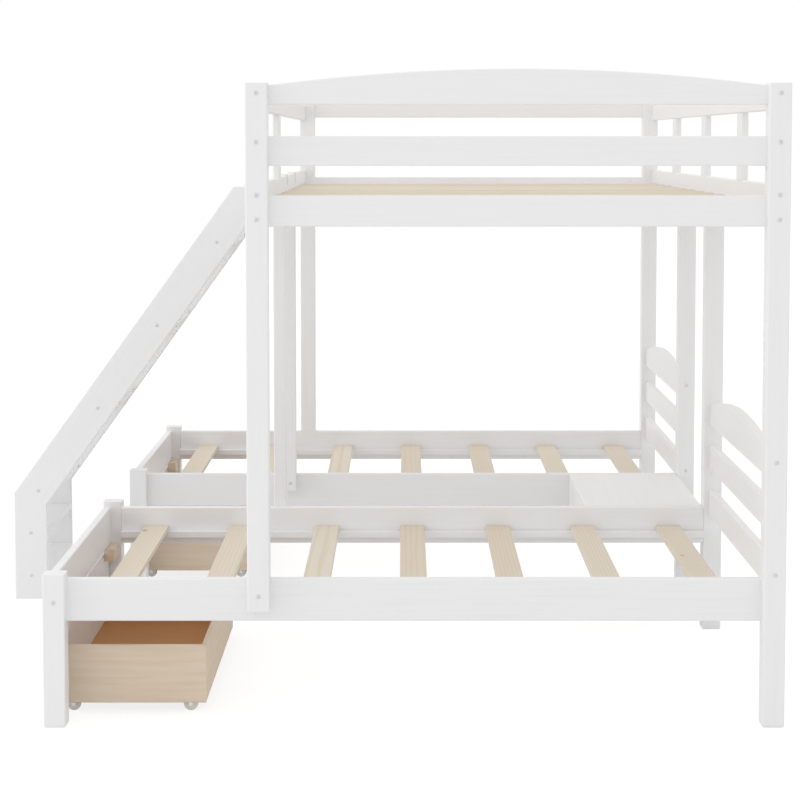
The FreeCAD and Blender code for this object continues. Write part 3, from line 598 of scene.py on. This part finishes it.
def loft(bm, rings, place, closed=False):
    """A skin through rings of points, capped at both ends, or joined end to end if it is closed."""
    loops = [[bm.verts.new(place @ point) for point in ring] for ring in rings]
    count = len(loops[0])
    pairs = list(zip(loops, loops[1:]))
    if closed:
        pairs.append((loops[-1], loops[0]))
    else:
        bm.faces.new(loops[0])
        bm.faces.new(loops[-1])
    for lower, upper in pairs:
        for index in range(count):
            following = (index + 1) % count
            bm.faces.new((lower[index], lower[following], upper[following], upper[index]))


def piece(name, bm, body, material):
    """Turns a bmesh into a piece of the object that rides on a CAD body."""
    bmesh.ops.recalc_face_normals(bm, faces=bm.faces)
    for face in bm.faces:
        face.smooth = True
    for edge in bm.edges:
        edge.smooth = len(edge.link_faces) == 2 and edge.calc_face_angle() < CREASE
    mesh = bpy.data.meshes.new(name)
    bm.to_mesh(mesh)
    bm.free()
    mesh.materials.append(material)
    made = bpy.data.objects.new(name, mesh)
    bpy.context.scene.collection.objects.link(made)
    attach(made, body)
    return made


def facing(spot, direction):
    """A placement at a spot, whose own Z looks in a direction."""
    return Matrix.Translation(spot) @ direction.to_track_quat("Z", "Y").to_matrix().to_4x4()


# Operators

class BUNKBED_OT_frame(bpy.types.Operator):
    """Lacquer the posts, rails, boards, ladder and drawer fronts"""
    bl_idname = "bunkbed.frame"
    bl_label = "Lacquer the frame"

    def execute(self, context):
        dress(nodes_of("painted_wood"), lacquered_pine)
        return {"FINISHED"}


class BUNKBED_OT_slats(bpy.types.Operator):
    """Leave the slats and their bearers as bare pine, and screw the slats down"""
    bl_idname = "bunkbed.slats"
    bl_label = "Lay the slats"

    def execute(self, context):
        dress(nodes_of("slat_wood"), sanded_pine)
        self.screw_down()
        return {"FINISHED"}

    def screw_down(self):
        """Two flat screws with a cross drive at each end of each slat."""
        hardware = hardware_settings()
        rings = screw_rings(hardware.screw_head / 2, FLAT_HEAD, FLAT_DRIVE)
        bm = bmesh.new()
        for node in SLAT_NODES:
            along = "XYZ".index(BOARD_AXIS[node])
            for low, high in solid_boxes(node):
                for end in (low[along] + hardware.screw_inset, high[along] - hardware.screw_inset):
                    for side in (-0.5, 0.5):
                        spot = (low + high) / 2
                        spot[along] = end
                        spot[1 - along] += side * hardware.screw_spread
                        spot.z = high.z
                        loft(bm, rings, Matrix.Translation(spot))
        piece("slat_screws", bm, "frame", finish_of(zinc_plated_steel))


class BUNKBED_OT_bolts(bpy.types.Operator):
    """Put socket bolts in place of the plain bolt heads"""
    bl_idname = "bunkbed.bolts"
    bl_label = "Fit the bolts"

    def execute(self, context):
        key = hardware_settings().bolt_key
        bm = bmesh.new()
        for low, high in solid_boxes("bolt_heads"):
            radius = (high.x - low.x) / 2
            height = high.y - low.y
            outward = self.outward(low, high)
            face = (low + high) / 2 - outward * (height / 2)
            rings = [round_ring(share * radius, rise * height, BOLT_SIDES) for share, rise in BOLT_DOME]
            rings.append(hexagon_ring(key, height, BOLT_SIDES))
            rings.append(hexagon_ring(key, SOCKET_FLOOR * height, BOLT_SIDES))
            loft(bm, rings, facing(face, outward))
        bolts = piece("socket_bolts", bm, "frame", finish_of(zinc_plated_steel))
        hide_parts("bolt_heads")
        return {"FINISHED"}

    def outward(self, low, high):
        """The way a bolt head looks: away from the post or stringer that it touches."""
        middle = (low + high) / 2
        for name in NODES:
            if not name.endswith(("_post", "_leg", "_stringer")):
                continue
            board_low, board_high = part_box(name)
            if all(board_low[axis] < middle[axis] < board_high[axis] for axis in (0, 2)):
                if abs(board_high.y - low.y) < TOUCH:
                    return Vector((0, 1, 0))
                if abs(board_low.y - high.y) < TOUCH:
                    return Vector((0, -1, 0))
        raise RuntimeError("a bolt head touches no post")


class BUNKBED_OT_hooks(bpy.types.Operator):
    """Coat the ladder's hooks and screw them to the stringers"""
    bl_idname = "bunkbed.hooks"
    bl_label = "Hang the ladder"

    def execute(self, context):
        dress_plain(["ladder_hooks"], powder_coated_steel)
        rings = screw_rings(HOOK_SCREW_RADIUS, DOMED_HEAD, DOMED_DRIVE)
        bm = bmesh.new()
        for low, high in solid_boxes("ladder_hooks"):
            for inset in HOOK_SCREW_INSETS:
                spot = Vector((low.x + inset, (low.y + high.y) / 2, low.z + HOOK_STRIP))
                loft(bm, rings, Matrix.Translation(spot))
        piece("hook_screws", bm, "frame", finish_of(zinc_plated_steel))
        return {"FINISHED"}


class BUNKBED_OT_drawers(bpy.types.Operator):
    """Finish the drawer boxes and their stops in plywood, and the drawer bases in hardboard"""
    bl_idname = "bunkbed.drawers"
    bl_label = "Build the drawers"

    def execute(self, context):
        dress_plain(nodes_of("drawer_wood"), birch_plywood)
        dress_plain(nodes_of("drawer_base"), pressed_hardboard)
        return {"FINISHED"}


class BUNKBED_OT_casters(bpy.types.Operator):
    """Plate the caster brackets and put moulded wheels on their axles"""
    bl_idname = "bunkbed.casters"
    bl_label = "Fit the casters"

    def execute(self, context):
        dress_plain(nodes_of("bracket_steel"), zinc_plated_steel)
        for node in nodes_of("wheel_plastic"):
            wheel = self.wheel(node)
            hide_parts(node)
        return {"FINISHED"}

    def wheel(self, node):
        """A moulded wheel: a crowned tread, and faces that are dished between the rim and the hub."""
        low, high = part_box(node)
        tread = (high.z - low.z) / 2
        half = (high.y - low.y) / 2
        profile = [(AXLE_RADIUS + AXLE_CLEARANCE, half)]
        profile += [(share * tread, rise * half) for share, rise in WHEEL_PROFILE]
        outline = profile + [(radius, -height) for radius, height in reversed(profile)]
        rings = [round_ring(radius, height, WHEEL_SIDES) for radius, height in outline]
        bm = bmesh.new()
        loft(bm, rings, facing((low + high) / 2, Vector((0, 1, 0))), closed=True)
        return piece(node.replace("_wheel", "_tyre"), bm, node, finish_of(moulded_nylon))


class BUNKBED_OT_stage(bpy.types.Operator):
    """Set the floor, the studio light and the camera"""
    bl_idname = "bunkbed.stage"
    bl_label = "Set the stage"

    def execute(self, context):
        scene = context.scene
        scene.view_settings.view_transform = "Standard"
        self.lay_floor(scene)
        self.light_sky(scene)
        self.hang_softboxes(scene)
        self.set_camera(scene)
        return {"FINISHED"}

    def seen(self, tree):
        """1 for rays that show a surface, also in a mirror or through glass, and 0 for rays that light."""
        path = add_node(tree, "ShaderNodeLightPath")
        mirrored = add_node(tree, "ShaderNodeMath", {
            0: path.outputs["Is Camera Ray"], 1: path.outputs["Is Glossy Ray"]}, operation="MAXIMUM")
        through = add_node(tree, "ShaderNodeMath", {
            0: mirrored.outputs["Value"], 1: path.outputs["Is Transmission Ray"]}, operation="MAXIMUM")
        return through.outputs["Value"]

    def lay_floor(self, scene):
        """A pale seamless floor: white to the eye, with the bed's faint shadow."""
        half_side = 40.0
        glow_strength = 0.82
        bm = bmesh.new()
        bmesh.ops.create_grid(bm, x_segments=1, y_segments=1, size=half_side)
        mesh = bpy.data.meshes.new("studio_floor")
        bm.to_mesh(mesh)
        bm.free()
        floor = bpy.data.objects.new("studio_floor", mesh)
        scene.collection.objects.link(floor)
        material, tree = start_material("studio_floor")
        paper = add_node(tree, "ShaderNodeBsdfDiffuse", {"Color": rgba(linear("#F4F4F4"))})
        shadow = add_node(tree, "ShaderNodeBsdfDiffuse", {"Color": rgba(linear("#8C8C8C"))})
        glow = add_node(tree, "ShaderNodeEmission", {"Strength": glow_strength})
        shown = add_node(tree, "ShaderNodeAddShader", {
            0: shadow.outputs["BSDF"], 1: glow.outputs["Emission"]})
        mix = add_node(tree, "ShaderNodeMixShader", {
            0: self.seen(tree), 1: paper.outputs["BSDF"], 2: shown.outputs["Shader"]})
        add_node(tree, "ShaderNodeOutputMaterial", {"Surface": mix.outputs["Shader"]})
        mesh.materials.append(material)

    def light_sky(self, scene):
        """Even light from all around, in front of a white backdrop."""
        world = bpy.data.worlds.new("studio_sky")
        scene.world = world
        world.use_nodes = True
        tree = world.node_tree
        tree.nodes.clear()
        light = add_node(tree, "ShaderNodeBackground", {"Strength": studio_settings().sky_strength})
        backdrop = add_node(tree, "ShaderNodeBackground", {"Strength": 1.0})
        for sky in (light, backdrop):
            sky.inputs["Color"].default_value = rgba(linear("#FFFFFF"))
        mix = add_node(tree, "ShaderNodeMixShader", {
            0: self.seen(tree), 1: light.outputs["Background"], 2: backdrop.outputs["Background"]})
        add_node(tree, "ShaderNodeOutputWorld", {"Surface": mix.outputs["Shader"]})

    def hang_softboxes(self, scene):
        """A large softbox on the left and one overhead."""
        studio = studio_settings()
        bed_middle = Vector((0, 0, 0.9))
        for name, spot, side, power in (
                ("left_softbox", (-12.0, -3.0, 4.3), 8.0, studio.left_power),
                ("top_softbox", (0.0, -1.0, 6.0), 4.0, studio.top_power)):
            lamp = bpy.data.lights.new(name, "AREA")
            lamp.size = side
            lamp.energy = power
            holder = bpy.data.objects.new(name, lamp)
            holder.location = spot
            holder.rotation_mode = "QUATERNION"
            holder.rotation_quaternion = (bed_middle - Vector(spot)).to_track_quat("-Z", "Y")
            scene.collection.objects.link(holder)

    def set_camera(self, scene):
        """A camera before the front bed that looks a little down, with its lens shifted."""
        studio = studio_settings()
        lens = bpy.data.cameras.new("camera")
        lens.sensor_width = SENSOR_SIDE
        lens.lens = studio.camera_focal * SENSOR_SIDE / IMAGE_SIDE
        lens.shift_x = -studio.lens_side
        lens.shift_y = -studio.lens_drop
        lens.clip_end = 200.0
        holder = bpy.data.objects.new("camera", lens)
        holder.location = studio.camera_place
        holder.rotation_euler = (math.pi / 2 - studio.camera_tilt, 0, 0)
        scene.collection.objects.link(holder)
        scene.camera = holder


OPERATORS = (
    BUNKBED_OT_frame,
    BUNKBED_OT_slats,
    BUNKBED_OT_bolts,
    BUNKBED_OT_hooks,
    BUNKBED_OT_drawers,
    BUNKBED_OT_casters,
    BUNKBED_OT_stage,
)
SETTINGS = {
    "bunk_bed_finish": BunkBedFinish,
    "bunk_bed_hardware": BunkBedHardware,
    "bunk_bed_studio": BunkBedStudio,
}


class BUNKBED_PT_panel(bpy.types.Panel):
    """The bed's settings and the steps that dress it"""
    bl_label = "Bunk Bed"
    bl_idname = "BUNKBED_PT_panel"
    bl_space_type = "VIEW_3D"
    bl_region_type = "UI"
    bl_category = "Bunk Bed"

    def draw(self, context):
        for operator in OPERATORS:
            self.layout.operator(operator.bl_idname)
        for name, group in SETTINGS.items():
            settings = getattr(context.scene, name)
            for prop in group.__annotations__:
                self.layout.prop(settings, prop)


def register():
    for group in SETTINGS.values():
        bpy.utils.register_class(group)
    for operator in OPERATORS:
        bpy.utils.register_class(operator)
    bpy.utils.register_class(BUNKBED_PT_panel)
    for name, group in SETTINGS.items():
        setattr(bpy.types.Scene, name, PointerProperty(type=group))


def unregister():
    for name in SETTINGS:
        delattr(bpy.types.Scene, name)
    bpy.utils.unregister_class(BUNKBED_PT_panel)
    for operator in reversed(OPERATORS):
        bpy.utils.unregister_class(operator)
    for group in SETTINGS.values():
        bpy.utils.unregister_class(group)


def main():
    register()
    bpy.ops.bunkbed.frame()
    bpy.ops.bunkbed.slats()
    bpy.ops.bunkbed.bolts()
    bpy.ops.bunkbed.hooks()
    bpy.ops.bunkbed.drawers()
    bpy.ops.bunkbed.casters()
    bpy.ops.bunkbed.stage()


if __name__ == "__main__":
    main()
